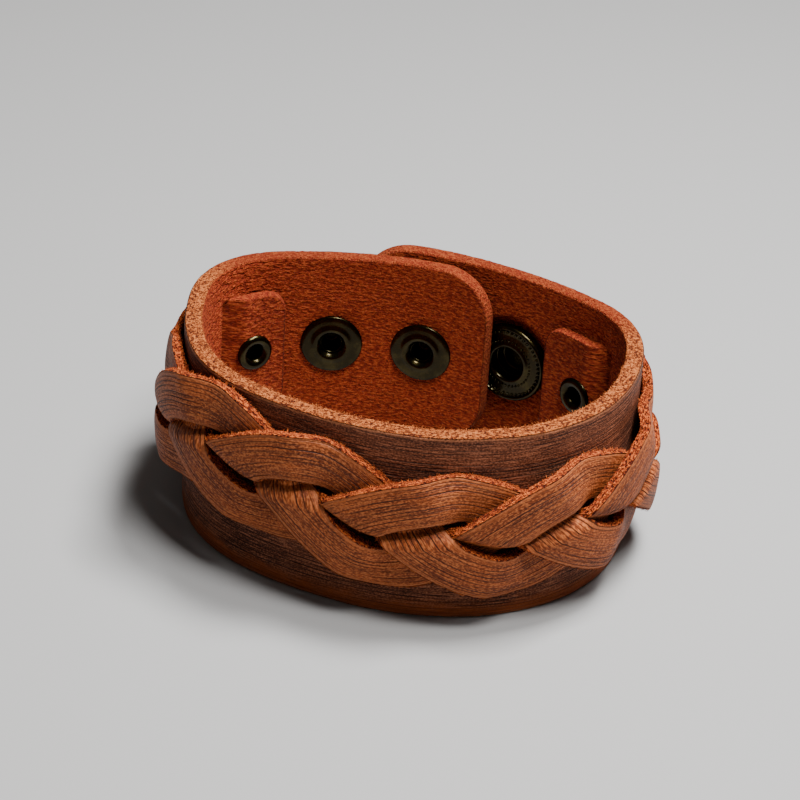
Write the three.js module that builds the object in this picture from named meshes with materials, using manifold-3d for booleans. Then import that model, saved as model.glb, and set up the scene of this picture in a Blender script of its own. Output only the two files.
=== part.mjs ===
// A braided leather bracelet. One wide strap is curled into a loop and closed at the back of the wrist
// by a press snap. A narrower strip, slit into three strands and braided, lies on the front of the
// strap; its two uncut ends pass through slots to the inside, where a tubular rivet holds each.
//
// Millimetres, +Z up. The bracelet stands on the strap's lower edge. The origin is the middle of its
// bounding box on that level, and +Y points to the overlap at the back.

import * as THREE from "three";
import { mergeVertices } from "three/addons/utils/BufferGeometryUtils.js";
import Module from "manifold-3d";

const wasm = await Module();
wasm.setup();

// ---- driving dimensions ----

const CLEAR = 0.3; // gap kept between two pieces that touch
const STRAP = { width: 30, thick: 2.6, length: 213, corner: 8 };
const MIDDLE = STRAP.width / 2; // height of the snaps, rivets and braid
const FACE = STRAP.thick / 2; // from the strap's middle line to either face
const PAST = 1; // how far a cutter runs on past the face it opens
const BEYOND = FACE + PAST;

// The strap's heading in degrees, at distances along it from its inner end. It turns evenly from row to
// row, and each bend eases into the next over EASE.
const LOOP = [
  { along: 0, heading: 154 },
  { along: 21, heading: 179 },
  { along: 35, heading: 191 },
  { along: 50, heading: 262 },
  { along: 65, heading: 278 },
  { along: 85, heading: 326 },
  { along: 105, heading: 345 },
  { along: 125, heading: 381 },
  { along: 145, heading: 427 },
  { along: 160, heading: 450 },
  { along: 172, heading: 498 },
  { along: 182, heading: 506 },
  { along: 213, heading: 535 },
];
const EASE = 10;
const STEP = 0.25; // spacing of the points worked out along the loop

// The braided strip: three strands, and a flat end at each side that goes in through a slot.
const STRIP = { width: 19.4, thick: 1.8, corner: 3 };
const STRAND = { width: 6.8, rootWidth: 6.0, pitch: 6.5, root: 1.4, rootThin: 0.92, step: 2 };

// Each strand waves above and below the braid's middle line, which climbs a little round the left bend.
const BRAID = { period: 53, crest: 115, reach: 6.4 };
const CLIMB = { height: 4.9, up: [51, 75], down: [115, 81] };

// How far out from the strap's middle line a strand's middle surface is: flat on the strap, under another
// strand, and over one. The braid is crowned: its outer edges lie lower, over and between crossings.
const LEVEL = { flat: FACE + CLEAR + STRIP.thick / 2, under: 2.6, over: 4.9 };
const CROWN = { over: 0.5, between: 0.8, from: 3, half: 9.5 };

// A strand is fully over or under this many mm from where it swaps, and this many radians from a crest.
// It swaps near the middle line, swayed a little by the strand that lies crested there.
const CROSS = { height: 1.3, turn: 0.5, sway: 0.9 };

// Each end of the strip, as distances along the strap: the end of the tab, its rivet, its slot, where the
// slit begins, where the strands rise from flat, and where they leave their lanes for the braid. Lanes are
// the places of the three strands in the uncut strip, counted up from its middle.
const ENDS = [
  {
    name: "left", tab: 33.3, rivet: 39.3, slot: 44, slit: 47.4,
    rise: [57, 65], cross: [59, 68], lanes: [1, 0, -1],
  },
  {
    name: "right", tab: 179.5, rivet: 172.5, slot: 168, slit: 164.6,
    rise: [162, 152], cross: [161, 150], lanes: [0, -1, 1],
  },
];
const SLOT = { length: 6.4, height: STRIP.width + 1.2, slope: 6 };

// The snaps. Studs stand on the inner end of the strap, sockets on the outer end.
const SNAPS = [
  { name: "closed", along: 10.8 },
  { name: "free", along: 25.4 },
];

// ---- the loop ----

function headingAt(along) {
  const last = LOOP.length - 1;
  let row = LOOP.findIndex((next) => next.along > along);
  if (row < 1) row = row === 0 ? 1 : last;
  const [from, to] = [LOOP[row - 1], LOOP[row]];
  return THREE.MathUtils.mapLinear(along, from.along, to.along, from.heading, to.heading);
}

function easedHeading(along) {
  const samples = 8;
  let sum = 0;
  for (let i = 0; i <= samples; i++) sum += headingAt(along + EASE * (i / samples - 0.5));
  return THREE.MathUtils.degToRad(sum / (samples + 1));
}

const loop = [{ x: 0, y: 0, heading: easedHeading(0) }];
for (let along = STEP; along <= STRAP.length + STEP / 2; along += STEP) {
  const before = loop[loop.length - 1];
  const middle = easedHeading(along - STEP / 2);
  loop.push({
    x: before.x + STEP * Math.cos(middle),
    y: before.y + STEP * Math.sin(middle),
    heading: easedHeading(along),
  });
}

// The place, direction and outward side of the strap's middle line at a distance along it.
function station(along) {
  const index = THREE.MathUtils.clamp(along / STEP, 0, loop.length - 1);
  const low = Math.min(Math.floor(index), loop.length - 2);
  const part = index - low;
  const heading = THREE.MathUtils.lerp(loop[low].heading, loop[low + 1].heading, part);
  return {
    x: THREE.MathUtils.lerp(loop[low].x, loop[low + 1].x, part),
    y: THREE.MathUtils.lerp(loop[low].y, loop[low + 1].y, part),
    outward: new THREE.Vector3(Math.sin(heading), -Math.cos(heading), 0),
  };
}

// A point given in the strap's own terms: along it, out from its middle line, and up from its lower edge.
function onStrap(along, out, up) {
  const { x, y, outward } = station(along);
  return new THREE.Vector3(x, y, up).addScaledVector(outward, out);
}

// ---- solids ----

function solid(geometry) {
  const plain = geometry.clone();
  plain.deleteAttribute("normal");
  plain.deleteAttribute("uv");
  const merged = mergeVertices(plain, 1e-5);
  const vertProperties = new Float32Array(merged.attributes.position.array);
  const triVerts = new Uint32Array(merged.index.array);
  return new wasm.Manifold(new wasm.Mesh({ numProp: 3, vertProperties, triVerts }));
}

function geometryOf(manifold) {
  const { vertProperties, triVerts } = manifold.getMesh();
  const geometry = new THREE.BufferGeometry();
  geometry.setAttribute("position", new THREE.BufferAttribute(vertProperties, 3));
  geometry.setIndex(new THREE.BufferAttribute(triVerts, 1));
  geometry.computeVertexNormals();
  return geometry;
}

// A box whose every vertex is moved: place(length, across, depth) gets fractions from 0 to 1.
function moulded(segments, across, place) {
  const box = new THREE.BoxGeometry(1, 1, 1, segments, 1, across);
  const position = box.attributes.position;
  for (let i = 0; i < position.count; i++) {
    const at = new THREE.Vector3().fromBufferAttribute(position, i).addScalar(0.5);
    const moved = place(at.x, at.z, at.y);
    position.setXYZ(i, moved.x, moved.y, moved.z);
  }
  return solid(box);
}

// Distances along a strip that ends in round corners, close together where the corners bend.
function cornered(from, to, corner, spacing, ends) {
  const rows = [];
  const steps = 6;
  const arc = (i) => corner * (1 - Math.cos((Math.PI / 2) * (i / steps)));
  const begin = ends.start ? corner : 0;
  const finish = ends.finish ? corner : 0;
  if (ends.start) for (let i = 0; i < steps; i++) rows.push(from + arc(i));
  const count = Math.round((to - from - begin - finish) / spacing);
  for (let i = 0; i <= count; i++) {
    rows.push(from + begin + ((to - from - begin - finish) * i) / count);
  }
  if (ends.finish) for (let i = steps - 1; i >= 0; i--) rows.push(to - arc(i));
  return rows;
}

// How far the edge of such a strip is drawn in, at a distance from its end.
function drawnIn(fromEnd, corner) {
  if (fromEnd >= corner) return 0;
  return corner - Math.sqrt(Math.max(0, corner ** 2 - (corner - fromEnd) ** 2));
}

// A turned piece from its profile, a list of [radius, height], set on the strap with its axis outward.
const SIDES = 16;
function turned(profile, along) {
  const points = profile.map(([radius, level]) => new THREE.Vector2(radius, level));
  const geometry = new THREE.LatheGeometry(points, SIDES);
  const { outward } = station(along);
  const turn = new THREE.Quaternion().setFromUnitVectors(new THREE.Vector3(0, 1, 0), outward);
  geometry.applyQuaternion(turn);
  const centre = onStrap(along, 0, MIDDLE);
  return geometry.translate(centre.x, centre.y, centre.z);
}

// A round cutter between two levels out from the strap's middle line.
function drill(radius, low, high, along) {
  return solid(turned([[0, low], [radius, low], [radius, high], [0, high]], along));
}

// ---- finishes ----

const leather = { color: 0x8a3e1c, roughness: 0.75, metalness: 0 };
const braidLeather = { color: 0x9a4a24, roughness: 0.7, metalness: 0 };
const brass = { color: 0x2e2a1e, roughness: 0.35, metalness: 0.9 };

const bracelet = new THREE.Group();

function add(name, geometry, finish) {
  const mesh = new THREE.Mesh(geometry, new THREE.MeshStandardMaterial(finish));
  mesh.name = name;
  bracelet.add(mesh);
}

// ---- snaps ----

// Levels below are out from the middle line of the leather that a part is set in. Each part is pressed
// into the leather, so that it sits on a flat round seat.
const POST = { flange: 4.9, mouth: 1.9, bore: 1, tube: 1.5, rim: 0.9, seat: -FACE + 0.3, tip: FACE + 0.9 };
const STUD = { base: 4.8, neck: 2.1, bulb: 2.3, wall: 0.4, seat: FACE - 0.7, tip: FACE + 2.2 };
const SOCKET = { radius: 6.5, hole: 2.65, thick: 1.7, seat: -FACE + 0.9 };
const CAP = { radius: 7.2, rise: 1.6, rim: 0.8, stem: 3.3, cup: 2.65, seat: FACE - 0.4 };

// The distance along the outer end of the strap that faces a stud on the inner end.
function facing(along) {
  const from = onStrap(along, 0, 0);
  const outward = station(along).outward;
  let best = { miss: Infinity };
  for (let other = STRAP.length * 0.75; other < STRAP.length; other += STEP) {
    const away = onStrap(other, 0, 0).sub(from);
    const miss = Math.abs(away.cross(outward).z);
    if (miss < best.miss) best = { miss, along: other };
  }
  return best.along;
}

const pitch = SNAPS[1].along - SNAPS[0].along;
const closedSocket = facing(SNAPS[0].along);
const sockets = [
  { name: "closed", along: closedSocket },
  { name: "free", along: closedSocket - pitch },
];

const strapCuts = [];

for (const { name, along } of SNAPS) {
  const flangeTop = POST.seat - CLEAR;
  const stretch = POST.tip - flangeTop;
  const post = [
    [0, POST.tip],
    [POST.tube, POST.tip],
    [POST.tube, flangeTop],
    [POST.flange, flangeTop],
    [POST.flange, flangeTop - POST.rim * 0.5],
    [POST.flange - 0.9, flangeTop - POST.rim],
    [POST.mouth, flangeTop - POST.rim],
    [POST.bore, flangeTop],
    [POST.bore, flangeTop + stretch * 0.7],
    [0, flangeTop + stretch * 0.7],
  ];
  add(`snap_post_${name}`, turned(post.reverse(), along), brass);

  const foot = STUD.seat + CLEAR;
  const inside = POST.tube + CLEAR;
  const stud = [
    [0, POST.tip + CLEAR],
    [inside, POST.tip + CLEAR],
    [inside, foot],
    [STUD.base, foot],
    [STUD.base, foot + STUD.wall],
    [STUD.neck, foot + STUD.wall],
    [STUD.bulb, STUD.tip - 0.8],
    [STUD.neck, STUD.tip - 0.2],
    [0, STUD.tip],
  ];
  add(`snap_stud_${name}`, turned(stud, along), brass);

  strapCuts.push(drill(POST.tube + CLEAR, -BEYOND, BEYOND, along));
  strapCuts.push(drill(POST.flange + CLEAR, -BEYOND, POST.seat, along));
  strapCuts.push(drill(STUD.base + CLEAR, STUD.seat, BEYOND, along));
}

for (const { name, along } of sockets) {
  const back = SOCKET.seat - CLEAR;
  const front = back - SOCKET.thick;
  const socket = [
    [SOCKET.hole, back],
    [SOCKET.radius, back],
    [SOCKET.radius, front + 0.4],
    [SOCKET.radius - 0.4, front],
    [SOCKET.radius - 1.1, front + 0.3],
    [SOCKET.hole + 0.9, front + 0.3],
    [SOCKET.hole + 0.4, front],
    [SOCKET.hole, back],
  ];
  add(`snap_socket_${name}`, turned(socket.reverse(), along), brass);

  const under = CAP.seat + CLEAR;
  const stemEnd = back + CLEAR;
  const cap = [
    [0, under],
    [CAP.cup, under],
    [CAP.cup, stemEnd],
    [CAP.stem, stemEnd],
    [CAP.stem, under],
    [CAP.radius, under],
    [CAP.radius, under + CAP.rim],
    [CAP.radius * 0.8, under + CAP.rise * 0.8],
    [0, under + CAP.rise],
  ];
  add(`snap_cap_${name}`, turned(cap, along), brass);

  strapCuts.push(drill(CAP.stem + CLEAR, -BEYOND, BEYOND, along));
  strapCuts.push(drill(SOCKET.radius + CLEAR, -BEYOND, SOCKET.seat, along));
  strapCuts.push(drill(CAP.radius + CLEAR, CAP.seat, BEYOND, along));
}

// ---- rivets at the ends of the strip ----

const TAB_FACE = -FACE - CLEAR - STRIP.thick; // the tab's bare face, inside the loop
const RIVET = { flange: 3, hole: 1.3, tube: 1.7, rim: 0.8, seat: TAB_FACE + 0.5, tip: FACE + 0.4 };
const WASHER = { radius: 3.6, rise: 1.3, seat: FACE - 0.3 };
const tabCuts = [];

for (const { name, rivet: along } of ENDS) {
  const top = RIVET.seat - CLEAR;
  const rivet = [
    [0, top + 2.4],
    [RIVET.hole - 0.2, top + 2.4],
    [RIVET.hole, top - RIVET.rim * 0.2],
    [RIVET.hole + 0.6, top - RIVET.rim],
    [RIVET.flange - 0.5, top - RIVET.rim],
    [RIVET.flange, top - RIVET.rim * 0.4],
    [RIVET.flange, top],
    [RIVET.tube, top],
    [RIVET.tube, RIVET.tip],
    [0, RIVET.tip],
  ];
  add(`rivet_${name}`, turned(rivet, along), brass);

  const foot = WASHER.seat + CLEAR;
  const cap = [
    [0, RIVET.tip + CLEAR],
    [RIVET.tube + CLEAR, RIVET.tip + CLEAR],
    [RIVET.tube + CLEAR, foot],
    [WASHER.radius, foot],
    [WASHER.radius, foot + 0.4],
    [WASHER.radius * 0.7, foot + WASHER.rise * 0.85],
    [0, foot + WASHER.rise],
  ];
  add(`rivet_cap_${name}`, turned(cap, along), brass);

  tabCuts.push(drill(RIVET.tube + CLEAR, TAB_FACE - PAST, BEYOND, along));
  tabCuts.push(drill(RIVET.flange + CLEAR, TAB_FACE - PAST, RIVET.seat, along));
  strapCuts.push(drill(RIVET.tube + CLEAR, -BEYOND, BEYOND, along));
  strapCuts.push(drill(WASHER.radius + CLEAR, WASHER.seat, BEYOND, along));
}

// ---- strap ----

function strapBlank() {
  const rows = cornered(0, STRAP.length, STRAP.corner, 3, { start: true, finish: true });
  return moulded(rows.length - 1, 1, (length, across, depth) => {
    const along = rows[Math.round(length * (rows.length - 1))];
    const inset = drawnIn(Math.min(along, STRAP.length - along), STRAP.corner);
    const up = THREE.MathUtils.lerp(inset, STRAP.width - inset, across);
    return onStrap(along, THREE.MathUtils.lerp(FACE, -FACE, depth), up);
  });
}

for (const { slot } of ENDS) {
  strapCuts.push(
    moulded(4, 1, (length, across, depth) =>
      onStrap(
        slot + SLOT.length * (length - 0.5),
        THREE.MathUtils.lerp(BEYOND, -BEYOND, depth),
        MIDDLE + SLOT.height * (across - 0.5),
      ),
    ),
  );
}

const strap = strapCuts.reduce((body, cut) => body.subtract(cut), strapBlank());
add("strap", geometryOf(strap), leather);

// ---- braid ----

// Between two values with a soft start and end; -1 to 1 with a soft middle is softSign.
const soft = (value, from, to) => THREE.MathUtils.smoothstep((value - from) / (to - from), 0, 1);
function softSign(value) {
  const held = THREE.MathUtils.clamp(value, -1, 1);
  return held * (1.5 - 0.5 * held ** 2);
}

// From 0 at the uncut ends of the strip to 1 in the braid, over one of the stretches named in ENDS.
function opened(along, stretch) {
  return Math.min(...ENDS.map((end) => soft(along, ...end[stretch])));
}

function braidMiddle(along) {
  return MIDDLE + CLIMB.height * soft(along, ...CLIMB.up) * soft(along, ...CLIMB.down);
}

// The strand's middle line: its height above the lower edge at a distance along the strap. The phase
// counts from the crest, where the strand is highest.
const phaseOf = (along, number) =>
  ((along - BRAID.crest) / BRAID.period - number / 3) * 2 * Math.PI;

function strandUp(along, number) {
  const braided = BRAID.reach * Math.cos(phaseOf(along, number));
  const end = along < BRAID.crest ? ENDS[0] : ENDS[1];
  const flat = end.lanes[number] * STRAND.pitch;
  return braidMiddle(along) + THREE.MathUtils.lerp(flat, braided, opened(along, "cross"));
}

// A point on a strand's middle surface, across its width from its middle line. A strand coming down
// passes under the one that rises above the middle, and over the one that rises below it.
function strandSurface(along, across, number) {
  const slope = (strandUp(along + 0.05, number) - strandUp(along - 0.05, number)) / 0.1;
  const run = Math.hypot(1, slope);
  const place = along - (slope / run) * across;
  const up = strandUp(along, number) + across / run;
  const above = up - braidMiddle(place);
  const falling = softSign(Math.sin(phaseOf(along, number)) / Math.sin(CROSS.turn));
  const sway = CROSS.sway * Math.cos(3 * phaseOf(place, 0) - Math.PI);
  const over = -softSign((above + sway) / CROSS.height) * falling;
  const top = LEVEL.over - CROWN.over * (above / CROWN.half) ** 2;
  const outer = Math.max(0, Math.abs(above) - CROWN.from) / (CROWN.half - CROWN.from);
  const between = (1 - falling ** 2) * CROWN.between * outer ** 2;
  const level = THREE.MathUtils.lerp(LEVEL.under, top, (1 + over) / 2) - between;
  return new THREE.Vector3(place, THREE.MathUtils.lerp(LEVEL.flat, level, opened(along, "rise")), up);
}

function strandPoint(along, across, number, side) {
  const reach = 0.02;
  const alongEdge = strandSurface(along + reach, across, number);
  alongEdge.sub(strandSurface(along - reach, across, number));
  const acrossEdge = strandSurface(along, across + reach, number);
  acrossEdge.sub(strandSurface(along, across - reach, number));
  const normal = acrossEdge.cross(alongEdge).normalize();
  if (normal.y < 0) normal.negate();
  const thick = STRIP.thick * THREE.MathUtils.lerp(STRAND.rootThin, 1, opened(along, "rise"));
  const at = strandSurface(along, across, number).addScaledVector(normal, side * thick);
  return onStrap(at.x, at.y, at.z);
}

function strand(number) {
  const [from, to] = [ENDS[0].slit - STRAND.root, ENDS[1].slit + STRAND.root];
  const steps = Math.round((to - from) / STRAND.step);
  return moulded(steps, 4, (length, across, depth) => {
    const along = THREE.MathUtils.lerp(from, to, length);
    const width = THREE.MathUtils.lerp(STRAND.rootWidth, STRAND.width, opened(along, "rise"));
    return strandPoint(along, width * (across - 0.5), number, 0.5 - depth);
  });
}

// An uncut end of the strip, from its rounded inner end, through the slot, to where the slit begins.
function tabOut(along, end) {
  const toward = Math.sign(end.slot - end.tab);
  const before = end.slot - (toward * SLOT.slope) / 2;
  return LEVEL.flat * (2 * soft(along, before, before + toward * SLOT.slope) - 1);
}

function tab(end) {
  const [from, to] = [Math.min(end.tab, end.slit), Math.max(end.tab, end.slit)];
  const rounded = { start: from === end.tab, finish: to === end.tab };
  const rows = cornered(from, to, STRIP.corner, 0.8, rounded);
  return moulded(rows.length - 1, 1, (length, across, depth) => {
    const along = rows[Math.round(length * (rows.length - 1))];
    const slope = (tabOut(along + 0.05, end) - tabOut(along - 0.05, end)) / 0.1;
    const run = Math.hypot(1, slope);
    const half = STRIP.thick * (0.5 - depth);
    const inset = drawnIn(Math.abs(along - end.tab), STRIP.corner);
    const up = MIDDLE + (STRIP.width - 2 * inset) * (across - 0.5);
    return onStrap(along - (slope / run) * half, tabOut(along, end) + half / run, up);
  });
}

const tabs = ENDS.map((end) => tab(end));
const strands = [0, 1, 2].map((number) => strand(number));
const braid = tabCuts.reduce(
  (body, cut) => body.subtract(cut),
  [...tabs, ...strands].reduce((body, piece) => body.add(piece)),
);
add("braid", geometryOf(braid), braidLeather);

// ---- set the bounding box's middle on the origin ----

const box = new THREE.Box3().setFromObject(bracelet);
const centre = box.getCenter(new THREE.Vector3());
bracelet.position.set(-centre.x, -centre.y, 0);

export default bracelet;
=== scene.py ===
import math
import random

import bmesh
import bpy
from mathutils import Matrix, Vector, noise


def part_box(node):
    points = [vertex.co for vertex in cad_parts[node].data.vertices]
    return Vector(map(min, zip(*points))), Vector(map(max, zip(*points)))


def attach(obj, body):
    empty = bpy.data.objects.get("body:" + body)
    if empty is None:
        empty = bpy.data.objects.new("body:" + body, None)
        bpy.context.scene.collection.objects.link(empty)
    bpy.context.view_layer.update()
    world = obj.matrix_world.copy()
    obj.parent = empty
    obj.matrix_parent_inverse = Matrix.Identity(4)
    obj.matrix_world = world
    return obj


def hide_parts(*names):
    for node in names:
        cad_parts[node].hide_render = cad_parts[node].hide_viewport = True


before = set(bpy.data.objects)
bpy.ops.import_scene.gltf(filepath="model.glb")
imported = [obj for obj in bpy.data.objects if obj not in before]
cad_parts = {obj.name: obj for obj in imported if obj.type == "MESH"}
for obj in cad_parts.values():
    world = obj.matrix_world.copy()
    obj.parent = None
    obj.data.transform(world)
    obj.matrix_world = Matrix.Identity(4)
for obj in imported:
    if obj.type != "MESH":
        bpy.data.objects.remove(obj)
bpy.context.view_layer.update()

# Sizes below are in millimetres unless a line says otherwise; MM turns them into the scene's metres.
MM = 0.001

# ---- camera ----
# A long lens looks down at the braided front of the bracelet, tipped a little to one side.

AIM = Vector((-1.4, -2.0, 20.6)) * MM
CAMERA_DISTANCE = 400 * MM
CAMERA_HEIGHT = math.radians(30)
CAMERA_ROLL = math.radians(3.5)

camera_data = bpy.data.cameras.new("camera")
camera_data.sensor_width = 36
camera_data.lens = 121.5
camera_data.clip_start = 0.01
camera = bpy.data.objects.new("camera", camera_data)
bpy.context.scene.collection.objects.link(camera)
turned_down = Matrix.Rotation(math.pi / 2 - CAMERA_HEIGHT, 4, "X")
back = Vector((0, -math.cos(CAMERA_HEIGHT), math.sin(CAMERA_HEIGHT)))
camera.matrix_world = (
    Matrix.Translation(AIM + CAMERA_DISTANCE * back) @ turned_down @ Matrix.Rotation(CAMERA_ROLL, 4, "Z")
)
bpy.context.scene.camera = camera

# ---- floor and light ----
# A plain pale floor under one large soft light overhead, a weaker one toward the front, and a dim room.


class Wire:
    """A socket in a material's nodes. Arithmetic on it adds the nodes that work the sum out."""

    def __init__(self, tree, socket=None):
        self.tree = tree
        self.socket = socket

    def node(self, kind, settings=None, sockets=None, output=0):
        """Adds a node: its settings first, then the values or links of its sockets.

        What comes back is a wire from one of the new node's outputs.
        """
        made = self.tree.nodes.new(kind)
        for name, value in (settings or {}).items():
            setattr(made, name, value)
        for name, value in (sockets or {}).items():
            if isinstance(value, Wire):
                self.tree.links.new(value.socket, made.inputs[name])
            else:
                made.inputs[name].default_value = value
        return Wire(self.tree, made.outputs[output])

    def maths(self, operation, *values):
        return self.node("ShaderNodeMath", {"operation": operation}, dict(enumerate(values)))

    def __abs__(self):
        return self.maths("ABSOLUTE", self)

    def __add__(self, other):
        return self.maths("ADD", self, other)

    def __sub__(self, other):
        return self.maths("SUBTRACT", self, other)

    def __rsub__(self, other):
        return self.maths("SUBTRACT", other, self)

    def __mul__(self, other):
        return self.maths("MULTIPLY", self, other)

    __radd__ = __add__


def new_material(name):
    """A material, its Principled node and a wire to start its other nodes from."""
    material = bpy.data.materials.new(name)
    material.use_nodes = True
    shader = material.node_tree.nodes["Principled BSDF"]
    return material, shader, Wire(material.node_tree)


def feed(wire, shader, socket):
    wire.tree.links.new(wire.socket, shader.inputs[socket])


FLOOR_SIZE = 4000
half = FLOOR_SIZE / 2 * MM
floor_mesh = bpy.data.meshes.new("floor")
floor_corners = [(-half, -half, 0), (half, -half, 0), (half, half, 0), (-half, half, 0)]
floor_mesh.from_pydata(floor_corners, [], [(0, 1, 2, 3)])
floor = bpy.data.objects.new("floor", floor_mesh)
bpy.context.scene.collection.objects.link(floor)
floor_material, floor_shader, _ = new_material("pale_floor")
floor_shader.inputs["Base Color"].default_value = (0.33, 0.325, 0.32, 1)
floor_shader.inputs["Roughness"].default_value = 0.8
floor_mesh.materials.append(floor_material)


def soft_light(name, place, size, power):
    data = bpy.data.lights.new(name, "AREA")
    data.size = size * MM
    data.energy = power
    light = bpy.data.objects.new(name, data)
    light.location = Vector(place) * MM
    light.rotation_euler = (-light.location).to_track_quat("-Z", "Y").to_euler()
    bpy.context.scene.collection.objects.link(light)


soft_light("top_light", (120, 60, 430), 130, 4.7)
soft_light("front_light", (110, -130, 440), 130, 2.6)
world = bpy.data.worlds.new("room")
world.use_nodes = True
world.node_tree.nodes["Background"].inputs["Color"].default_value = (1.0, 0.98, 0.96, 1)
world.node_tree.nodes["Background"].inputs["Strength"].default_value = 0.10
bpy.context.scene.world = world

# ---- strap ----
# One wide strip of thick oiled leather with round corners at both ends, curled into a loop whose ends
# overlap at the back. Its brown grain faces out, its rust-orange flesh side faces the wrist, and its
# cut edges are left raw and pale.

WIDTH = 30
THICK = 2.6
LENGTH = 213
CORNER = 8
MIDDLE = WIDTH / 2
FACE = THICK / 2
HEADINGS = (
    (0, 154), (21, 179), (35, 191), (50, 262), (65, 278), (85, 326), (105, 345),
    (125, 381), (145, 427), (160, 450), (172, 498), (182, 506), (213, 535),
)
EASE = 10
STEP = 0.25


def mix(low, high, part):
    return low + (high - low) * part


def soft(value, low, high):
    """From 0 to 1 as a value goes from low to high, with a soft start and end."""
    part = min(max((value - low) / (high - low), 0), 1)
    return part * part * (3 - 2 * part)


def heading_at(along):
    """The strap's heading in degrees, at a distance along it from its inner end."""
    after = sum(row[0] <= along for row in HEADINGS)
    after = min(max(after, 1), len(HEADINGS) - 1)
    (near, start), (far, finish) = HEADINGS[after - 1], HEADINGS[after]
    return mix(start, finish, (along - near) / (far - near))


def eased_heading(along):
    samples = 8
    total = sum(heading_at(along + EASE * (i / samples - 0.5)) for i in range(samples + 1))
    return math.radians(total / (samples + 1))


loop = [Vector((0, 0, 0))]
headings = [eased_heading(0)]
for i in range(1, round(LENGTH / STEP) + 1):
    heading = eased_heading((i - 0.5) * STEP)
    loop.append(loop[-1] + STEP * Vector((math.cos(heading), math.sin(heading), 0)))
    headings.append(eased_heading(i * STEP))


def on_strap(along, out, up):
    """A point along the strap, out from its middle line and up from its lower edge."""
    index = min(max(along / STEP, 0), len(loop) - 1)
    low = min(int(index), len(loop) - 2)
    heading = mix(headings[low], headings[low + 1], index - low)
    outward = Vector((math.sin(heading), -math.cos(heading), 0))
    return loop[low].lerp(loop[low + 1], index - low) + out * outward + Vector((0, 0, up))


outline = [on_strap(i, out, 0) for i in range(LENGTH + 1) for out in (-FACE, FACE)]
low_corner, high_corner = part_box("strap")
to_frame = Vector((0, 0, 0))
for axis in (0, 1):
    places = [point[axis] for point in outline]
    to_frame[axis] = ((low_corner + high_corner)[axis] / MM - min(places) - max(places)) / 2
loop = [point + to_frame for point in loop]


def ring_section(columns, thick, grain_round, flesh_round):
    """The points round a strip's section, its cut wall alone, and the places across it.

    A point of the section is (place across from -1 to 1, inset, depth), and one of the wall is
    (inset, depth). The wall bulges a little, and is rounded toward both faces.
    """
    half_thick = thick / 2
    wall = []
    steps = 4
    upright = 5
    bulge = 0.04
    for i in range(steps):
        turn = math.pi / 2 * i / steps
        wall.append((grain_round * (1 - math.sin(turn)), half_thick - grain_round * (1 - math.cos(turn))))
    for i in range(upright):
        depth = mix(half_thick - grain_round, flesh_round - half_thick, i / upright)
        wall.append((-bulge * math.sin(math.pi * i / upright), depth))
    for i in range(steps + 1):
        turn = math.pi / 2 * i / steps
        wall.append((flesh_round * (1 - math.cos(turn)), flesh_round * (1 - math.sin(turn)) - half_thick))
    across = [2 * i / columns - 1 for i in range(columns + 1)]
    ring = [(t, grain_round, half_thick) for t in across]
    ring += [(1, inset, depth) for inset, depth in wall[1:-1]]
    ring += [(t, flesh_round, -half_thick) for t in reversed(across)]
    ring += [(-1, inset, depth) for inset, depth in reversed(wall[1:-1])]
    return ring, wall, across


def rounded_rows(start, finish, width, corner, spacing, round_start=True, round_finish=True):
    """Rows across a strip with round corners: each gives (along, half width) at an inset from its edge."""
    rows = []
    turns = 14

    def straight(along):
        return lambda inset: (along, width / 2 - inset)

    def at_end(end, inward, turn):
        reach = width / 2 - corner
        return lambda inset: (
            end + inward * (corner - (corner - inset) * math.cos(turn)),
            reach + (corner - inset) * math.sin(turn),
        )

    if round_start:
        rows += [at_end(start, 1, math.pi / 2 * i / turns) for i in range(turns)]
    begin = start + (corner if round_start else 0)
    stop = finish - (corner if round_finish else 0)
    count = round((stop - begin) / spacing)
    rows += [straight(mix(begin, stop, i / count)) for i in range(count + 1)]
    if round_finish:
        rows += [at_end(finish, -1, math.pi / 2 * i / turns) for i in reversed(range(turns))]
    return rows


def grid_column(i, columns, wall):
    """The column of a strip's faces that a point round its section is on, or None on its cut walls."""
    flesh_start = columns + len(wall) - 1
    if i <= columns:
        return i
    if flesh_start <= i <= flesh_start + columns:
        return flesh_start + columns - i
    return None


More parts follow.
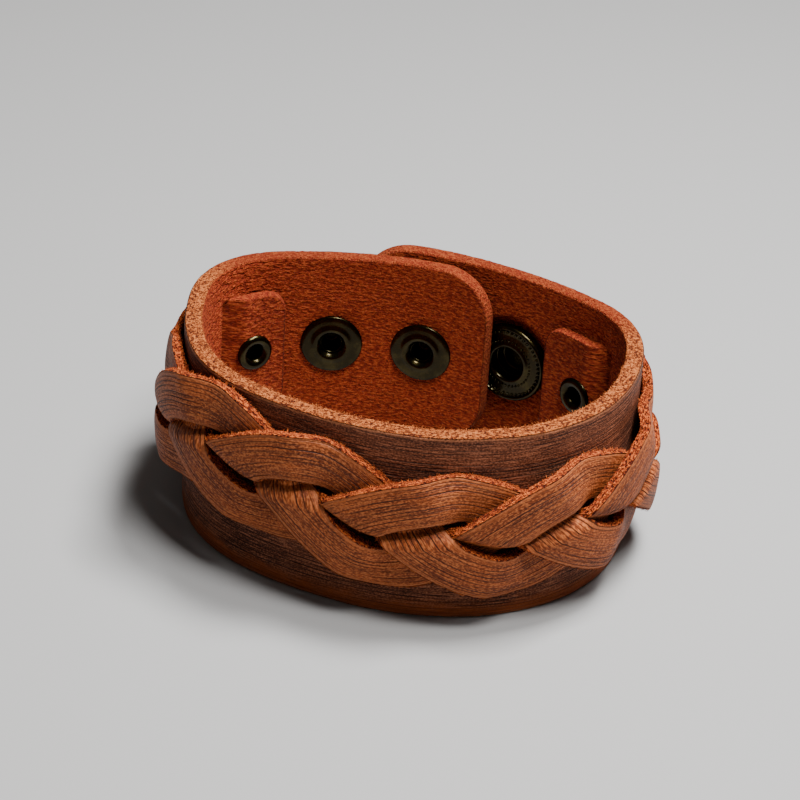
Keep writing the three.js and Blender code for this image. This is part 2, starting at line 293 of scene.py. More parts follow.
class Hide:
    """A leather piece being cut: its vertices know their place on the leather, in millimetres."""

    def __init__(self):
        self.mesh = bmesh.new()
        self.place = self.mesh.verts.layers.float_vector.new("leather")
        self.inset = self.mesh.verts.layers.float.new("inset")

    def vertex(self, point, place, inset):
        made = self.mesh.verts.new(point * MM)
        made[self.place] = place
        made[self.inset] = inset
        return made

    def skin(self, rings, around=True, left_out=lambda row, i: False):
        for row, (one, other) in enumerate(zip(rings, rings[1:])):
            for i in range(len(one) if around else len(one) - 1):
                j = (i + 1) % len(one)
                if not left_out(row, i):
                    self.mesh.faces.new((one[i], one[j], other[j], other[i]))

    def pierced_skin(self, rings, columns, wall, cells):
        """The skin of a strip, with cells of its grid cut away through both faces, as (row, column)."""
        flesh_end = 2 * columns + len(wall) - 1

        def left_out(row, i):
            column = i if i < columns else flesh_end - 1 - i
            return (row, column) in cells

        self.skin(rings, left_out=left_out)
        for row, column in cells:
            sides = (
                ((row - 1, column), (row, column), (row, column + 1)),
                ((row + 1, column), (row + 1, column), (row + 1, column + 1)),
                ((row, column - 1), (row, column), (row + 1, column)),
                ((row, column + 1), (row, column + 1), (row + 1, column + 1)),
            )
            for beside, one, other in sides:
                if beside not in cells:
                    grain = [rings[row][i] for row, i in (one, other)]
                    flesh = [rings[row][flesh_end - i] for row, i in (other, one)]
                    self.mesh.faces.new(grain + flesh)

    def fibre(self, root, tip, thick, place):
        """A loose fibre standing off a cut edge: a thin spike with its root in the leather."""
        length = tip - root
        side = length.orthogonal().normalized()
        turned_side = length.normalized().cross(side)
        corners = []
        for i in range(3):
            turn = 2 * math.pi * i / 3
            around = math.cos(turn) * side + math.sin(turn) * turned_side
            corners.append(self.vertex(root + thick * around, place, 0))
        top = self.vertex(tip, place, 0)
        self.mesh.faces.new(corners)
        for one, other in zip(corners, corners[1:] + corners[:1]):
            self.mesh.faces.new((one, other, top))

    def finished(self, name, material):
        bmesh.ops.remove_doubles(self.mesh, verts=self.mesh.verts, dist=1e-4 * MM)
        loose = [vertex for vertex in self.mesh.verts if not vertex.link_faces]
        bmesh.ops.delete(self.mesh, geom=loose, context="VERTS")
        bmesh.ops.recalc_face_normals(self.mesh, faces=self.mesh.faces)
        data = bpy.data.meshes.new(name)
        self.mesh.to_mesh(data)
        self.mesh.free()
        data.shade_smooth()
        data.materials.append(material)
        piece = bpy.data.objects.new(name, data)
        bpy.context.scene.collection.objects.link(piece)
        return piece


# Where the fittings are, along the strap: the studs, and the sockets that face them, the ends of the
# braided strip's slots, and its rivets.
STUDS = (10.8, 25.4)
SOCKETS = (201.5, 186.9)
SLOTS = (44, 168)
RIVETS = (39.3, 172.5)
SLOT_LENGTH = 3.8
SLOT_HEIGHT = 19.2

# Each fitting is pressed into the leather: its place, radius, depth, and side, 1 being the grain.
PRESSED = (
    [(along, 4.9, 0.12, -1) for along in STUDS]
    + [(along, 4.8, 0.5, 1) for along in STUDS]
    + [(along, 6.5, 0.72, -1) for along in SOCKETS]
    + [(along, 7.2, 0.16, 1) for along in SOCKETS]
    + [(along, 3.6, 0.1, 1) for along in RIVETS]
)

# The round holes through the strap: place and radius.
HOLES = (
    [(along, 1.8) for along in STUDS]
    + [(along, 3.6) for along in SOCKETS]
    + [(along, 2.0) for along in RIVETS]
)


def pressed_in(along, across, side, fittings):
    depth = 0
    for place, radius, deepest, facing in fittings:
        away = math.hypot(along - place, across)
        if facing == side and away < radius + 2:
            depth = max(depth, deepest * (1 - soft(away, radius + 0.05, radius + 1.4)))
    return depth


def cut_wobble(along, across, size):
    """How unevenly a cut edge runs, in and out."""
    coarse = noise.noise(Vector((along / 9, across / 9, 3.1)))
    fine = noise.noise(Vector((along / 2.1, across / 2.1, 8.7)))
    return size * (coarse + 0.35 * fine)


chance = random.Random(11)
STRAP_FIBRES = 6000
STRAP_FIBRE_LONGEST = 0.45
STRAP_EDGE_WOBBLE = 0.11
STRAP_SURFACE_WAVE = 0.05
STRAP_COLUMNS = 66
STRAP_SPACING = 0.45
strap_ring, strap_wall, strap_across = ring_section(STRAP_COLUMNS, THICK, 0.42, 0.25)
strap_rows = rounded_rows(0, LENGTH, WIDTH, CORNER, STRAP_SPACING)


def cells_cut(rows, across_places, is_cut):
    """The cells of a strip's grid whose middles are cut away, as (row, column)."""
    cells = set()
    for row in range(len(rows) - 1):
        near, far = rows[row](0), rows[row + 1](0)
        for column, (one, other) in enumerate(zip(across_places, across_places[1:])):
            if is_cut((near[0] + far[0]) / 2, (one + other) / 2 * near[1]):
                cells.add((row, column))
    return cells


def hole_snapped(along, across, row, column, cells, holes):
    """A grid point on the brink of a round hole, moved onto its circle."""
    around = [(row + i, column + j) in cells for i in (-1, 0) for j in (-1, 0)]
    if any(around) and not all(around):
        for place, radius in holes:
            away = math.hypot(along - place, across)
            if away < radius + 0.5:
                return place + (along - place) * radius / away, across * radius / away
    return along, across


def strap_is_cut(along, across):
    in_slot = any(abs(along - slot) < SLOT_LENGTH / 2 for slot in SLOTS) and abs(across) < SLOT_HEIGHT / 2
    return in_slot or any(math.hypot(along - place, across) < radius for place, radius in HOLES)


strap_cells = cells_cut(strap_rows, strap_across, strap_is_cut)


def strap_vertex(hide, row, t, inset, depth, column=None):
    along, half_width = strap_rows[row](inset)
    across = t * half_width
    if column is not None:
        along, across = hole_snapped(along, across, row, column, strap_cells, HOLES)
    at_edge = 1 - soft(half_width - abs(across), 0, 1.5)
    side = 1 if depth > 0 else -1
    out = depth
    if abs(depth) > FACE - 0.01:
        out -= side * pressed_in(along, across, side, PRESSED)
    out += STRAP_SURFACE_WAVE * noise.noise(Vector((along / 7, across / 5, side * 4)))
    up = MIDDLE + across + cut_wobble(along, math.copysign(30, t), STRAP_EDGE_WOBBLE) * at_edge
    if inset < 0.2:
        out += 0.06 * noise.noise(Vector((along / 0.6, t * 9, depth / 0.5)))
        up += 0.08 * noise.noise(Vector((along / 0.7, depth / 0.5, t * 9)))
    return hide.vertex(on_strap(along, out, max(up, 0)), (along, across, depth), max(inset, 0))


def grid_inset(along, across):
    """How far in from the strap's cut edge a point of its faces is."""
    from_end = min(along, LENGTH - along)
    from_side = WIDTH / 2 - abs(across)
    if from_end < CORNER and from_side < CORNER:
        return CORNER - math.hypot(CORNER - from_end, CORNER - from_side)
    return min(from_end, from_side)


def make_strap(material):
    hide = Hide()
    rings = []
    for row in range(len(strap_rows)):
        ring = []
        for i, (t, inset, depth) in enumerate(strap_ring):
            column = grid_column(i, STRAP_COLUMNS, strap_wall)
            made = strap_vertex(hide, row, t, inset, depth, column)
            if column is not None:
                made[hide.inset] = grid_inset(made[hide.place][0], made[hide.place][1])
            ring.append(made)
        rings.append(ring)

    hide.pierced_skin(rings, STRAP_COLUMNS, strap_wall, strap_cells)
    for i in range(STRAP_FIBRES):
        along = chance.uniform(CORNER, LENGTH - CORNER)
        side = 1 if i % 3 else -1
        depth = chance.triangular(0.15 - FACE, FACE - 0.3, -FACE)
        reach = chance.uniform(0.1, STRAP_FIBRE_LONGEST)
        root = on_strap(along, depth, MIDDLE + side * (MIDDLE - 0.12))
        tip = on_strap(
            along + chance.uniform(-0.35, 0.35),
            depth - chance.uniform(-0.1, 0.4),
            MIDDLE + side * (MIDDLE - 0.12 + (reach if side > 0 else 0.1)),
        )
        hide.fibre(root, tip, chance.uniform(0.04, 0.09), (along, 15 * side + reach, depth))

    for row in (0, len(strap_rows) - 1):
        end = []
        for inset, depth in strap_wall:
            end.append([strap_vertex(hide, row, t, inset, depth) for t in strap_across])
        hide.skin(end, around=False)
    return hide.finished("strap_leather", material)


# Where, along the strap, the cut edges turn from raw to painted shade at the back of the loop, and how
# strong the grain's specks are.
RIM_SHADE_BEFORE = (50, 40)
RIM_SHADE_AFTER = (158, 170)
SPECKS = 0.5
RELIEF = 0.24


def leather_material(name, looks):
    """Leather in three finishes: grain outside, flesh inside, and raw cut edges where inset is near 0."""
    material, shader, start = new_material(name)
    place = start.node("ShaderNodeAttribute", {"attribute_name": "leather"}, output=1)
    inset = start.node("ShaderNodeAttribute", {"attribute_name": "inset"}, output=2)
    apart = {"Vector": place}
    along = start.node("ShaderNodeSeparateXYZ", sockets=apart, output=0)
    across = start.node("ShaderNodeSeparateXYZ", sockets=apart, output=1)
    depth = start.node("ShaderNodeSeparateXYZ", sockets=apart, output=2)

    def noise_at(stretch, detail=3.0, roughness=0.5):
        """Noise over the leather, with so many waves a millimetre along, across and through it."""
        spread = start.node("ShaderNodeCombineXYZ", sockets={
            "X": along * stretch[0], "Y": across * stretch[1], "Z": depth * stretch[2],
        })
        return start.node("ShaderNodeTexNoise", sockets={
            "Vector": spread, "Scale": 1.0, "Detail": detail, "Roughness": roughness,
        })

    def step(value, low, high):
        return start.node("ShaderNodeMapRange", {"interpolation_type": "SMOOTHSTEP"}, {
            "Value": value, "From Min": low, "From Max": high,
        })

    def blend(part, one, other):
        """One colour below, the other above, by a part from 0 to 1."""
        return start.node("ShaderNodeMix", {"data_type": "RGBA"}, {0: part, 6: one, 7: other}, output=2)

    def lines(spacing, breaks):
        """Fine broken lines that run along the leather, so far apart, wandering a little across it."""
        wander = noise_at((0.03, 0.32, 0.1), 2.0) * (3.2 / spacing)
        row = start.maths("SINE", across * (math.pi / spacing) + wander)
        return step(abs(row), 0.50, 0.15) * step(noise_at(breaks, 2.0), 0.40, 0.56)

    blotch = noise_at((0.09, 0.14, 0.1), 3.0)
    streak = noise_at((0.05, 1.3, 0.5), 4.0, 0.6)
    hair = noise_at((0.30, 3.4, 1.0), 2.0, 0.5)
    speck = noise_at((3.2, 4.6, 3.0), 1.0, 0.5)
    patch = noise_at((0.25, 0.5, 0.1), 2.0)

    worn = step(blotch * (1 - looks["streaks"]) + streak * looks["streaks"], 0.40, 0.60)
    grain = blend(worn, looks["grain_dark"], looks["grain"])
    grain = blend(step(hair, 0.54, 0.62) * looks["hairlines"], grain, looks["grain_light"])
    grain = blend(step(speck, 0.52, 0.62) * SPECKS, grain, looks["grain_light"])
    grain = blend(step(speck, 0.47, 0.37) * SPECKS, grain, looks["groove"])
    edge_distance = inset + (patch - 0.5) * looks["burnish"]
    burnish = step(edge_distance, looks["burnish"], looks["burnish"] * 0.25)
    burnish *= step(across, looks["burnish_below"], looks["burnish_below"] - 4)
    grain = blend(burnish * looks["burnish_part"], grain, looks["burnished"])
    groove = lines(0.62, (0.10, 1.1, 0.3)) * 0.85 + lines(0.43, (0.22, 1.6, 0.3)) * 0.5
    grain = blend(groove * (1 - burnish * 0.6), grain, looks["groove"])
    corner_line = step(inset + (hair - 0.5) * 0.3, 0.62, 0.36)
    grain = blend(corner_line * looks["corner_part"], grain, looks["corner"])

    nap = noise_at((1.3, 3.2, 3.0), 2.0, 0.65)
    tuft = noise_at((0.6, 1.4, 1.0), 3.0, 0.6)
    pile = nap * 0.85 + tuft * 0.15
    flesh = blend(step(pile, 0.42, 0.48), looks["flesh_dark"], looks["flesh"])
    flesh = blend(step(pile, 0.51, 0.58), flesh, looks["flesh_light"])

    fibre = noise_at((2.3, 2.3, 3.2), 2.0, 0.7)
    cut = blend(step(fibre, 0.42, 0.48), looks["cut_dark"], looks["cut"])
    cut = blend(step(fibre, 0.51, 0.57), cut, looks["cut_light"])
    # Toward the overlap, at the back of the loop, the cut edges carry painted shade: they are darkened to
    # the flesh side's dark colour, standing in for the shaded far rim.
    tone_shift = step(along, *RIM_SHADE_BEFORE) + step(along, *RIM_SHADE_AFTER)
    cut = blend(tone_shift * 0.7, cut, looks["flesh_dark"])

    on_grain = step(depth, -0.1, 0.1)
    faces = blend(on_grain, flesh, grain)
    edge = step(inset + (fibre - 0.5) * 0.3, 0.26, 0.10)
    feed(blend(edge, faces, cut), shader, "Base Color")

    face_roughness = on_grain * (looks["gloss"] + streak * 0.25) + (1 - on_grain) * 0.95
    feed((1 - edge) * face_roughness + edge * 0.9, shader, "Roughness")

    grain_height = hair * 0.5 + speck * 0.4 + streak * 0.3 - groove * 0.55
    flesh_height = nap * 4.5 + tuft * 8.5
    face_height = on_grain * grain_height + (1 - on_grain) * flesh_height
    height = (1 - edge) * face_height + edge * fibre * 3.2
    relief = start.node(
        "ShaderNodeBump", sockets={"Height": height, "Strength": 1.0, "Distance": RELIEF * MM}
    )
    feed(relief, shader, "Normal")
    shader.inputs["Specular IOR Level"].default_value = looks["shine"]
    return material


# Colours are linear. "streaks", "hairlines" and the parts are shares from 0 to 1. Burnish is how far in
# from the edges the grain is rubbed, below a place across the strap.
STRAP_LOOKS = {
    "grain_dark": (0.068, 0.019, 0.009, 1),
    "grain": (0.15, 0.043, 0.019, 1),
    "grain_light": (0.38, 0.13, 0.064, 1),
    "groove": (0.012, 0.004, 0.003, 1),
    "streaks": 0.5,
    "hairlines": 0.6,
    "burnish": 3.4,
    "burnish_part": 0.8,
    "burnish_below": 0,
    "burnished": (0.27, 0.058, 0.012, 1),
    "corner": (0.42, 0.15, 0.065, 1),
    "corner_part": 0.45,
    "flesh_dark": (0.18, 0.017, 0.005, 1),
    "flesh": (0.29, 0.034, 0.009, 1),
    "flesh_light": (0.44, 0.078, 0.020, 1),
    "cut_dark": (0.060, 0.010, 0.003, 1),
    "cut": (0.25, 0.056, 0.012, 1),
    "cut_light": (0.47, 0.140, 0.038, 1),
    "gloss": 0.50,
    "shine": 0.12,
}
strap = make_strap(leather_material("strap_leather", STRAP_LOOKS))
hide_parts("strap")
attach(strap, "root")

# ---- braid ----
# A narrower strip of the same leather, slit into three strands and braided over the strap's front.
# Its two uncut ends pass through the strap's slots, and each is riveted flat inside the loop.

GAP = 0.3
STRIP_WIDTH = 19.4
STRIP_THICK = 1.8
STRIP_CORNER = 3
STRAND_WIDTH = 6.9
PERIOD = 53
CREST = 115
REACH = 6.4
CLIMB = 4.9
CLIMB_UP = (51, 75)
CLIMB_DOWN = (115, 81)

# Levels of a strand's middle layer out from the strap's: flat on it, under a strand, and over one. The
# braid's outer edges lie lower by the crowns.
FLAT = FACE + GAP + STRIP_THICK / 2
UNDER = 2.6
OVER = 4.9
CROWN_OVER = 0.5
CROWN_BETWEEN = 0.8
CROWN_FROM = 3
CROWN_HALF = 9.5

# How near to its swap, and to a crest, a strand is on its way between over and under.
SWAP_HEIGHT = 1.3
SWAP_TURN = 0.5
SWAY = 0.9
SLOT_SLOPE = 6

# For each end of the strip: its own end, its slot, where its slit begins, where the strands rise from
# flat, where they leave their lanes for the braid, and those lanes, counted up from the middle.
LEFT_END = {
    "tab": 33.3, "rivet": 39.3, "slot": 44, "slit": 47.4,
    "rise": (57, 65), "cross": (59, 68), "lanes": (1, 0, -1),
}
RIGHT_END = {
    "tab": 179.5, "rivet": 172.5, "slot": 168, "slit": 164.6,
    "rise": (162, 152), "cross": (161, 150), "lanes": (0, -1, 1),
}


def opened(along, stretch):
    """From 0 at the uncut ends to 1 in the braid, over one of the stretches at each end."""
    return min(soft(along, *end[stretch]) for end in (LEFT_END, RIGHT_END))


def end_near(along):
    return LEFT_END if along < CREST else RIGHT_END


def braid_middle(along):
    """The braid's middle line: it climbs a little round the left bend."""
    return MIDDLE + CLIMB * soft(along, *CLIMB_UP) * soft(along, *CLIMB_DOWN)


def soft_sign(value):
    held = min(max(value, -1), 1)
    return held * (1.5 - 0.5 * held * held)


def strand_phase(along, number):
    return ((along - CREST) / PERIOD - number / 3) * 2 * math.pi


def strand_up(along, number):
    braided = REACH * math.cos(strand_phase(along, number))
    flat = end_near(along)["lanes"][number] * STRIP_WIDTH / 3
    return braid_middle(along) + mix(flat, braided, opened(along, "cross"))


def strand_middle(along, across, number):
    """(along, out, up) of a point of a strand's middle layer, across its width from its middle line."""
    slope = (strand_up(along + 0.05, number) - strand_up(along - 0.05, number)) / 0.1
    run = math.hypot(1, slope)
    up = strand_up(along, number) + across / run
    place = along - slope / run * across
    above = up - braid_middle(place)
    falling = soft_sign(math.sin(strand_phase(along, number)) / math.sin(SWAP_TURN))
    sway = SWAY * math.cos(3 * strand_phase(place, 0) - math.pi)
    over = -soft_sign((above + sway) / SWAP_HEIGHT) * falling
    outer = max(0, abs(above) - CROWN_FROM) / (CROWN_HALF - CROWN_FROM)
    level = mix(UNDER, OVER - CROWN_OVER * (above / CROWN_HALF) ** 2, (1 + over) / 2)
    level -= (1 - falling ** 2) * CROWN_BETWEEN * outer ** 2
    return Vector((place, mix(FLAT, level, opened(along, "rise")), up))


def strand_place(along, across, depth, number):
    reach = 0.02
    lengthwise = strand_middle(along + reach, across, number) - strand_middle(along - reach, across, number)
    crosswise = strand_middle(along, across + reach, number) - strand_middle(along, across - reach, number)
    normal = crosswise.cross(lengthwise).normalized()
    if normal.y < 0:
        normal.negate()
    return on_strap(*(strand_middle(along, across, number) + depth * normal))


def tab_out(along, end):
    """How far out an uncut end lies: inside the loop, then through the slot to its outside."""
    toward = math.copysign(1, end["slot"] - end["tab"])
    travelled = (along - end["slot"]) * toward + SLOT_SLOPE / 2
    return mix(-FLAT, FLAT, soft(travelled, 0, SLOT_SLOPE))


def tab_place(along, across, depth, end):
    slope = (tab_out(along + 0.05, end) - tab_out(along - 0.05, end)) / 0.1
    run = math.hypot(1, slope)
    return on_strap(along - slope / run * depth, tab_out(along, end) + depth / run, MIDDLE + across)


STRAND_COLUMNS = 14
TAB_COLUMNS = 3 * STRAND_COLUMNS
STRAND_SPACING = 0.4
STRAND_FIBRES = 4200
STRAND_ROUGH = 0.06
STRAND_WAVER = 0.14
DOME = 0.22
TAB_HOLE = 2.0

# How far apart across the leather the strands' texture is taken, and how far from the strap's.
STRAND_APART = 25
TEXTURE_SHIFT = 60
strand_ring, strand_wall, strand_across = ring_section(STRAND_COLUMNS, STRIP_THICK, 0.22, 0.15)
tab_ring, tab_wall, tab_across = ring_section(TAB_COLUMNS, STRIP_THICK, 0.22, 0.15)


def tab_fraction(t, inset):
    """The tab's columns, set so that a slit between strands starts on one of them."""
    at_slit = (STRIP_WIDTH / 6) / (STRIP_WIDTH / 2 - inset)
    if abs(t) <= 1 / 3:
        return 3 * t * at_slit
    return math.copysign(mix(at_slit, 1, (abs(t) - 1 / 3) * 1.5), t)


def make_tab(hide, end):
    start, finish = sorted((end["tab"], end["slit"]))
    from_left = start == end["tab"]
    rows = rounded_rows(start, finish, STRIP_WIDTH, STRIP_CORNER, STRAND_SPACING, from_left, not from_left)

    def is_cut(along, across):
        return math.hypot(along - end["rivet"], across) < TAB_HOLE

    cells = cells_cut(rows, tab_across, is_cut)

    def vertex(row, t, inset, depth, column=None):
        along, half_width = rows[row](inset)
        across = (tab_fraction(t, inset) if abs(t) < 1 else t) * half_width
        if column is not None:
            along, across = hole_snapped(along, across, row, column, cells, [(end["rivet"], TAB_HOLE)])
        from_edge = inset
        if abs(t) < 1:
            from_tip = abs(along - end["tab"])
            from_edge = max(min(from_tip, STRIP_WIDTH / 2 - abs(across)), inset)
        spot = along, across + TEXTURE_SHIFT, depth
        return hide.vertex(tab_place(along, across, depth, end), spot, max(from_edge, 0))

    rings = []
    for row in range(len(rows)):
        ring = []
        for i, point in enumerate(tab_ring):
            ring.append(vertex(row, *point, grid_column(i, TAB_COLUMNS, tab_wall)))
        rings.append(ring)
    hide.pierced_skin(rings, TAB_COLUMNS, tab_wall, cells)
    tip = 0 if from_left else len(rows) - 1
    hide.skin([[vertex(tip, t, *edge) for t in tab_across] for edge in tab_wall], around=False)


def make_strand(hide, number):
    start, finish = LEFT_END["slit"], RIGHT_END["slit"]
    count = round((finish - start) / STRAND_SPACING)
    rings = []
    for row in range(count + 1):
        along = mix(start, finish, row / count)
        at_root = row in (0, count)
        end = end_near(along)
        lane = end["lanes"][number]
        width = mix(STRIP_WIDTH / 3, STRAND_WIDTH, opened(along, "rise"))
        ring = []
        for t, inset, depth in strand_ring:
            # At its root a strand is still joined to its neighbours, so only its outer side is rounded.
            joined = at_root and lane * t <= 0
            across = t * (width / 2 if joined else width / 2 - inset)
            place = along, number * STRAND_APART + across + TEXTURE_SHIFT, depth
            if at_root:
                point = tab_place(along, lane * STRIP_WIDTH / 3 + across, depth, end)
            else:
                if depth > STRIP_THICK / 2 - 0.3:
                    depth -= DOME * abs(t) ** 3
                if abs(t) == 1:
                    rough = noise.noise(Vector((along / 0.6, depth / 0.5, number * 7 + t)))
                    waver = noise.noise(Vector((along / 4.5, number * 9.1, t)))
                    across += t * (STRAND_ROUGH * rough + STRAND_WAVER * waver)
                point = strand_place(along, across, depth, number)
            from_edge = max(width / 2 - abs(across), 0)
            ring.append(hide.vertex(point, place, from_edge))
        rings.append(ring)
    hide.skin(rings)
    for i in range(STRAND_FIBRES):
        along = chance.uniform(start + 2, finish - 2)
        side = 1 if i % 3 else -1
        depth = chance.uniform(-STRIP_THICK / 2 + 0.05, STRIP_THICK / 2 - 0.45)
        edge = side * (STRAND_WIDTH / 2 - 0.1)
        reach = edge + side * chance.triangular(0.12, 0.62, 0.2)
        root = strand_place(along, edge, depth, number)
        tip_along = along + chance.uniform(-0.4, 0.4)
        tip = strand_place(tip_along, reach, depth + chance.uniform(-0.35, 0.2), number)
        hide.fibre(root, tip, chance.uniform(0.04, 0.10), (along, reach + number * STRAND_APART, depth))


BRAID_LOOKS = dict(
    STRAP_LOOKS,
    grain_dark=(0.18, 0.037, 0.010, 1),
    grain=(0.33, 0.075, 0.020, 1),
    grain_light=(0.56, 0.17, 0.052, 1),
    groove=(0.040, 0.007, 0.002, 1),
    streaks=0.4,
    hairlines=0.35,
    burnish=1.3,
    burnish_part=0.4,
    burnish_below=1000,
    burnished=(0.34, 0.085, 0.022, 1),
    corner=(0.50, 0.17, 0.065, 1),
    corner_part=0.2,
    cut_dark=(0.040, 0.004, 0.001, 1),
    cut=(0.22, 0.030, 0.006, 1),
    cut_light=(0.52, 0.115, 0.024, 1),
    gloss=0.45,
    shine=0.14,
)

braid_hide = Hide()
for end in (LEFT_END, RIGHT_END):
    make_tab(braid_hide, end)
for number in range(3):
    make_strand(braid_hide, number)
braid = braid_hide.finished("braid_leather", leather_material("braid_leather", BRAID_LOOKS))
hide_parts("braid")
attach(braid, "root")

# ---- snaps ----
# Ring snaps of pressed brass, aged almost black. Each stud is held on the strap's inner end by a post
# whose flange shows inside the loop; each socket is held on the outer end by a domed cap outside.

SIDES = 96


def rounded_profile(points, radius, steps=5):
    """An outline of (radius, level) points with its corners rounded."""
    made = [points[0]]
    for before, corner, after in zip(points, points[1:], points[2:]):
        corner_point = Vector(corner)
        arms = [Vector(other) - corner_point for other in (before, after)]
        reach = min(radius, *(arm.length * 0.48 for arm in arms))
        start, finish = (corner_point + arm.normalized() * reach for arm in arms)
        for i in range(steps + 1):
            part = i / steps
            near = start.lerp(corner_point, part)
            far = corner_point.lerp(finish, part)
            made.append(tuple(near.lerp(far, part)))
    made.append(points[-1])
    return made


def set_on_strap(along):
    """The matrix that stands a turned piece on the strap, its axis pointing outward."""
    outward = (on_strap(along, 1, 0) - on_strap(along, 0, 0)).normalized()
    turn = outward.to_track_quat("Z", "Y").to_matrix().to_4x4()
    return Matrix.Translation(on_strap(along, 0, MIDDLE)) @ turn


def turned(name, profile, along, material, extra=None):
    """A piece turned from its profile, a list of (radius, level out from the strap's middle line)."""
    mesh = bmesh.new()
    rings = []
    for radius, level in profile:
        if radius < 1e-6:
            rings.append([mesh.verts.new((0, 0, level))])
            continue
        angles = [2 * math.pi * i / SIDES for i in range(SIDES)]
        rings.append([mesh.verts.new((radius * math.cos(a), radius * math.sin(a), level)) for a in angles])
    for one, other in zip(rings, rings[1:] + [rings[0]]):
        for i in range(SIDES):
            j = (i + 1) % SIDES
            corners = [one[i % len(one)], one[j % len(one)], other[j % len(other)], other[i % len(other)]]
            corners = list(dict.fromkeys(corners))
            if len(corners) > 2:
                mesh.faces.new(corners)
    if extra:
        extra(mesh)
    bmesh.ops.recalc_face_normals(mesh, faces=mesh.faces)
    bmesh.ops.transform(mesh, matrix=Matrix.Scale(MM, 4) @ set_on_strap(along), verts=mesh.verts)
    data = bpy.data.meshes.new(name)
    mesh.to_mesh(data)
    mesh.free()
    data.shade_smooth()
    data.materials.append(material)
    piece = bpy.data.objects.new(name, data)
    bpy.context.scene.collection.objects.link(piece)
    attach(piece, "root")
    return piece


def brass_material():
    """Brass under a dark olive patina, glossy, rubbed a little brighter in places."""
    material, shader, start = new_material("dark_brass")
    spot = start.node("ShaderNodeTexCoord", output=3)
    cloud = start.node("ShaderNodeTexNoise", sockets={"Vector": spot, "Scale": 450.0, "Detail": 5.0})
    scuff = start.node("ShaderNodeTexNoise", sockets={"Vector": spot, "Scale": 4200.0, "Detail": 3.0})
    tone_shift = start.node("ShaderNodeMapRange", {"interpolation_type": "SMOOTHSTEP"}, {
        "Value": cloud * 0.7 + scuff * 0.3, "From Min": 0.42, "From Max": 0.66,
    })
    tone = start.node("ShaderNodeMix", {"data_type": "RGBA"}, {
        0: tone_shift, 6: (0.015, 0.011, 0.0035, 1), 7: (0.036, 0.027, 0.008, 1),
    }, output=2)
    feed(tone, shader, "Base Color")
    feed(0.14 + scuff * 0.20, shader, "Roughness")
    relief = start.node("ShaderNodeBump", sockets={"Height": scuff, "Strength": 0.5, "Distance": 0.02 * MM})
    feed(relief, shader, "Normal")
    shader.inputs["Metallic"].default_value = 1.0
    shader.inputs["Coat Weight"].default_value = 0.12
    shader.inputs["Coat Roughness"].default_value = 0.12
    return material


brass = brass_material()

POST_PROFILE = [
    (0, FACE + 0.9), (1.5, FACE + 0.9), (1.5, -FACE), (4.75, 0.08 - FACE), (4.9, -FACE - 0.15),
    (4.8, -FACE - 0.42), (4.3, -FACE - 0.60), (3.3, -FACE - 0.64), (2.75, -FACE - 0.84),
    (2.3, -FACE - 0.78), (1.7, -FACE - 0.20), (1.35, 0.3), (1.3, FACE + 0.6), (0, FACE + 0.6),
]
STUD_PROFILE = [
    (0, FACE + 1.2), (1.8, FACE + 1.2), (1.8, FACE - 0.4), (4.8, FACE - 0.4), (4.8, FACE),
    (2.3, FACE + 0.05), (2.1, FACE + 0.4), (2.3, FACE + 1.4), (2.1, FACE + 2.0), (0, FACE + 2.2),
]
for name, along in zip(("closed", "free"), STUDS):
    post = turned(f"post_{name}", rounded_profile(POST_PROFILE, 0.35), along, brass)
    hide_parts(f"snap_post_{name}")
    stud = turned(f"stud_{name}", rounded_profile(STUD_PROFILE, 0.3), along, brass)
    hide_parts(f"snap_stud_{name}")

SOCKET_BACK = 0.6 - FACE
SOCKET_FRONT = SOCKET_BACK - 1.7
SOCKET_PROFILE = [
    (2.9, SOCKET_BACK), (6.3, SOCKET_BACK), (6.5, SOCKET_BACK - 0.5), (6.45, SOCKET_FRONT + 0.35),
    (6.15, SOCKET_FRONT), (5.85, SOCKET_FRONT + 0.02), (5.7, SOCKET_FRONT + 0.3),
    (5.0, SOCKET_FRONT + 0.34), (3.7, SOCKET_FRONT + 0.16), (3.3, SOCKET_FRONT - 0.02),
    (2.85, SOCKET_FRONT + 0.05), (2.65, SOCKET_FRONT + 0.5),
]


# The rings of tiny beads pressed into a socket's face: radius, level, size of a bead, and count.
BEAD_RINGS = ((5.42, 0.20, 0.24, 46), (3.95, 0.10, 0.17, 40))


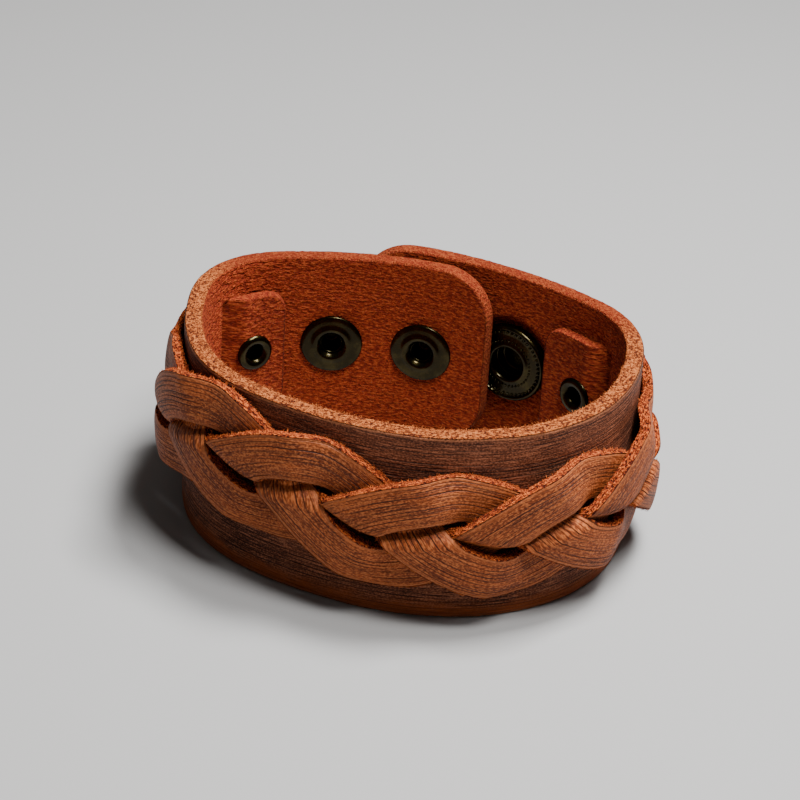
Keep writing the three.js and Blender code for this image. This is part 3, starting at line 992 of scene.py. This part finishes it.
def bead_rings(mesh):
    for radius, level, size, count in BEAD_RINGS:
        for i in range(count):
            turn = 2 * math.pi * i / count
            middle = Vector((radius * math.cos(turn), radius * math.sin(turn), SOCKET_FRONT + level))
            stand = Matrix.Translation(middle)
            bmesh.ops.create_icosphere(mesh, subdivisions=2, radius=size, matrix=stand)


CAP_UNDER = FACE - 0.1
CAP_PROFILE = [
    (0, CAP_UNDER), (2.65, CAP_UNDER), (2.65, SOCKET_BACK + 0.3), (3.3, SOCKET_BACK + 0.3),
    (3.3, CAP_UNDER), (7.0, CAP_UNDER - 0.05), (7.2, CAP_UNDER + 0.3), (7.0, CAP_UNDER + 0.75),
    (5.9, CAP_UNDER + 1.25), (3.2, CAP_UNDER + 1.55), (0, CAP_UNDER + 1.6),
]
for name, along in zip(("closed", "free"), SOCKETS):
    socket = turned(f"socket_{name}", rounded_profile(SOCKET_PROFILE, 0.25), along, brass, bead_rings)
    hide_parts(f"snap_socket_{name}")
    cap = turned(f"cap_{name}", rounded_profile(CAP_PROFILE, 0.5), along, brass)
    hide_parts(f"snap_cap_{name}")

# ---- rivets ----
# A tubular rivet of the same brass holds each end of the braided strip. Its rolled flange shows inside
# the loop and its small domed cap outside.

TAB_FACE = -FACE - GAP - STRIP_THICK
RIVET_UNDER = TAB_FACE + 0.2
RIVET_PROFILE = [
    (0, RIVET_UNDER + 2.4), (1.1, RIVET_UNDER + 2.4), (1.25, RIVET_UNDER - 0.1), (1.7, RIVET_UNDER - 0.62),
    (2.2, RIVET_UNDER - 0.78), (2.75, RIVET_UNDER - 0.6), (3.0, RIVET_UNDER - 0.25), (2.95, RIVET_UNDER),
    (1.7, RIVET_UNDER), (1.7, FACE + 0.4), (0, FACE + 0.4),
]
WASHER_PROFILE = [
    (0, FACE + 0.7), (2.0, FACE + 0.7), (2.0, FACE), (3.5, FACE - 0.05), (3.6, FACE + 0.2),
    (3.3, FACE + 0.7), (2.2, FACE + 1.15), (0, FACE + 1.3),
]
for name, along in zip(("left", "right"), RIVETS):
    rivet = turned(f"rivet_{name}_flange", rounded_profile(RIVET_PROFILE, 0.3), along, brass)
    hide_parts(f"rivet_{name}")
    washer = turned(f"rivet_{name}_cap", rounded_profile(WASHER_PROFILE, 0.3), along, brass)
    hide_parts(f"rivet_cap_{name}")
